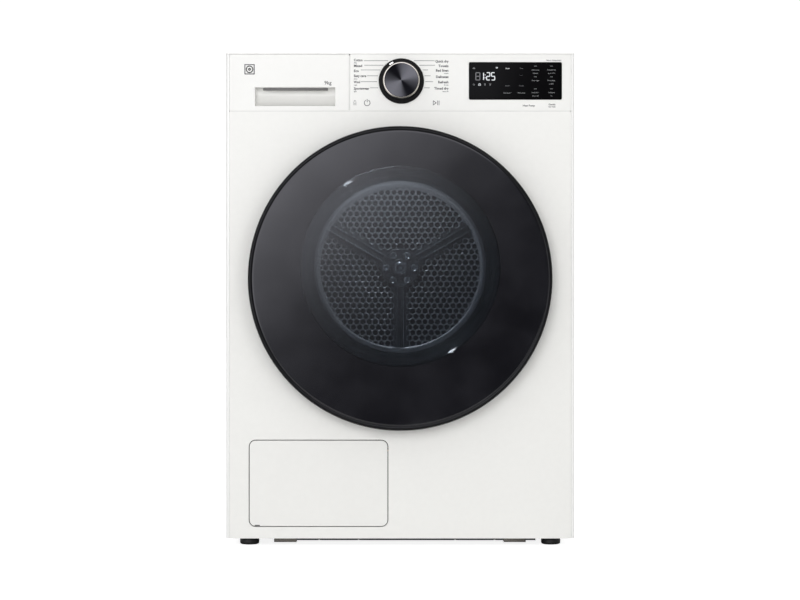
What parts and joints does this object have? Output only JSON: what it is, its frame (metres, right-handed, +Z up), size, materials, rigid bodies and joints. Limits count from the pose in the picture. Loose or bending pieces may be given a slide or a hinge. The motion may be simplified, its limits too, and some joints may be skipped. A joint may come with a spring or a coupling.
{
  "type": "clothes dryer",
  "caption": "Front-loading clothes dryer with a round tinted door, a control strip with a dial and display, a slide-out water tank and a low service hatch.",
  "frame": {"origin": "on the floor, under the centre of the whole machine", "axes": "+Z is up, -Y is the way the door faces, +X is to the right of someone facing the door"},
  "size_m": [0.6, 0.69, 0.85],
  "materials": {
    "white_paint": "gloss enamel",
    "white_plastic": "gloss",
    "galvanised": "galvanised sheet",
    "stainless": "brushed stainless",
    "black_gloss": "gloss",
    "tinted_screen": "tinted, gloss",
    "display_glass": "gloss",
    "bowl_glass": "clear",
    "grey_plastic": "satin",
    "dark_plastic": "satin",
    "rubber_black": "satin",
    "seal_grey": "matt",
    "knob_dark": "spun",
    "knob_trim": "polished",
    "aluminium_fin": "mill",
    "copper_tube": "bright copper",
    "board_green": "solder mask",
    "tub_clear": "frosted",
    "motor_steel": "painted"
  },
  "bodies": {
    "cabinet": {"base_pan": "dark_plastic", "base_beam": "dark_plastic", "side_panel_left": "white_paint", "side_panel_right": "white_paint", "top_panel": "white_paint", "rear_panel": "galvanised", "rear_duct_cover": "galvanised", "front_panel": "white_paint", "front_bulkhead": "galvanised", "throat_ring": "grey_plastic", "control_fascia": "white_plastic", "display_window": "display_glass", "control_board": "board_green", "tank_tray": "grey_plastic", "hinge_bracket": "stainless", "door_catch": "dark_plastic", "evaporator": "aluminium_fin", "condenser": "aluminium_fin", "exchanger_cover": "dark_plastic", "fan_housing": "dark_plastic", "fan_motor": "motor_steel", "compressor": "motor_steel", "refrigerant_pipe": "copper_tube", "drain_pump": "dark_plastic", "drain_hose": "seal_grey", "drum_motor": "motor_steel", "motor_mount": "galvanised", "drum_belt": "rubber_black", "power_inlet": "dark_plastic"},
    "door": {"door_ring": "black_gloss", "door_screen": "tinted_screen", "door_inner": "grey_plastic", "door_bowl": "bowl_glass", "door_seal": "seal_grey", "door_hinge_leaf": "stainless", "door_hook": "dark_plastic"},
    "drum": {"drum_shell": "stainless", "drum_back": "stainless", "drum_lifter_1": "grey_plastic", "drum_lifter_2": "grey_plastic", "drum_lifter_3": "grey_plastic"},
    "roller_left": {"drum_roller_left": "dark_plastic"},
    "roller_right": {"drum_roller_right": "dark_plastic"},
    "motor_rotor": {"motor_pulley": "stainless"},
    "idler_lever": {"idler_arm": "galvanised"},
    "idler_wheel": {"idler_pulley": "dark_plastic"},
    "fan_wheel": {"fan_impeller": "dark_plastic"},
    "knob": {"knob_skirt": "knob_dark", "knob_grip": "knob_dark", "knob_trim": "knob_trim", "knob_cap": "knob_dark"},
    "tank": {"tank_front": "white_plastic", "tank_tub": "tub_clear", "tank_lid": "grey_plastic"},
    "filter": {"lint_filter": "grey_plastic"},
    "hatch": {"maintenance_hatch": "white_plastic"},
    "foot_fl": {"foot_front_left": "rubber_black"},
    "foot_fr": {"foot_front_right": "rubber_black"},
    "foot_rl": {"foot_rear_left": "rubber_black"},
    "foot_rr": {"foot_rear_right": "rubber_black"}
  },
  "joints": [
    {"name": "door_hinge", "type": "hinge", "parent": "cabinet", "child": "door", "pos_m": [0.24, -0.325, 0.462], "axis": [0, 0, 1], "range_deg": [0, 120]},
    {"name": "drum_spin", "type": "hinge", "parent": "cabinet", "child": "drum", "pos_m": [0, 0, 0.482], "axis": [0, 1, 0], "continuous": true},
    {"name": "roller_left_spin", "type": "hinge", "parent": "cabinet", "child": "roller_left", "pos_m": [-0.12869, -0.231, 0.20603], "axis": [0, 1, 0], "continuous": true},
    {"name": "roller_right_spin", "type": "hinge", "parent": "cabinet", "child": "roller_right", "pos_m": [0.12869, -0.231, 0.20603], "axis": [0, 1, 0], "continuous": true},
    {"name": "motor_spin", "type": "hinge", "parent": "cabinet", "child": "motor_rotor", "pos_m": [0.195, 0.03266, 0.115], "axis": [0, 1, 0], "continuous": true},
    {"name": "idler_swing", "type": "hinge", "parent": "cabinet", "child": "idler_lever", "pos_m": [0.09, 0.04166, 0.125], "axis": [0, 1, 0], "range_deg": [0, 15], "stiffness_Nm_per_rad": 1.5, "springref_deg": -17.19},
    {"name": "idler_spin", "type": "hinge", "parent": "idler_lever", "child": "idler_wheel", "pos_m": [0.13, 0.03266, 0.15], "axis": [0, 1, 0], "continuous": true},
    {"name": "fan_spin", "type": "hinge", "parent": "cabinet", "child": "fan_wheel", "pos_m": [-0.15, 0.26, 0.0953], "axis": [0, 1, 0], "continuous": true},
    {"name": "knob_turn", "type": "hinge", "parent": "cabinet", "child": "knob", "pos_m": [0.00198, -0.309, 0.8018], "axis": [0, 1, 0], "continuous": true},
    {"name": "tank_slide", "type": "slide", "parent": "cabinet", "child": "tank", "axis": [0, -1, 0], "range_m": [0, 0.46]},
    {"name": "filter_lift", "type": "slide", "parent": "cabinet", "child": "filter", "axis": [0, 0, 1], "range_m": [0, 0.012]},
    {"name": "hatch_hinge", "type": "hinge", "parent": "cabinet", "child": "hatch", "pos_m": [-0.023, -0.2965, 0.109], "axis": [0, 0, 1], "range_deg": [0, 100]},
    {"name": "foot_fl_level", "type": "slide", "parent": "cabinet", "child": "foot_fl", "axis": [0, 0, -1], "range_m": [0, 0.012]},
    {"name": "foot_fr_level", "type": "slide", "parent": "cabinet", "child": "foot_fr", "axis": [0, 0, -1], "range_m": [0, 0.012]},
    {"name": "foot_rl_level", "type": "slide", "parent": "cabinet", "child": "foot_rl", "axis": [0, 0, -1], "range_m": [0, 0.012]},
    {"name": "foot_rr_level", "type": "slide", "parent": "cabinet", "child": "foot_rr", "axis": [0, 0, -1], "range_m": [0, 0.012]}
  ],
  "couplings": [
    {"joint": "roller_left_spin", "follows": "drum_spin", "ratio": -15.889},
    {"joint": "roller_right_spin", "follows": "drum_spin", "ratio": -15.889},
    {"joint": "motor_spin", "follows": "drum_spin", "ratio": 35.75},
    {"joint": "idler_spin", "follows": "drum_spin", "ratio": -19.067}
  ]
}
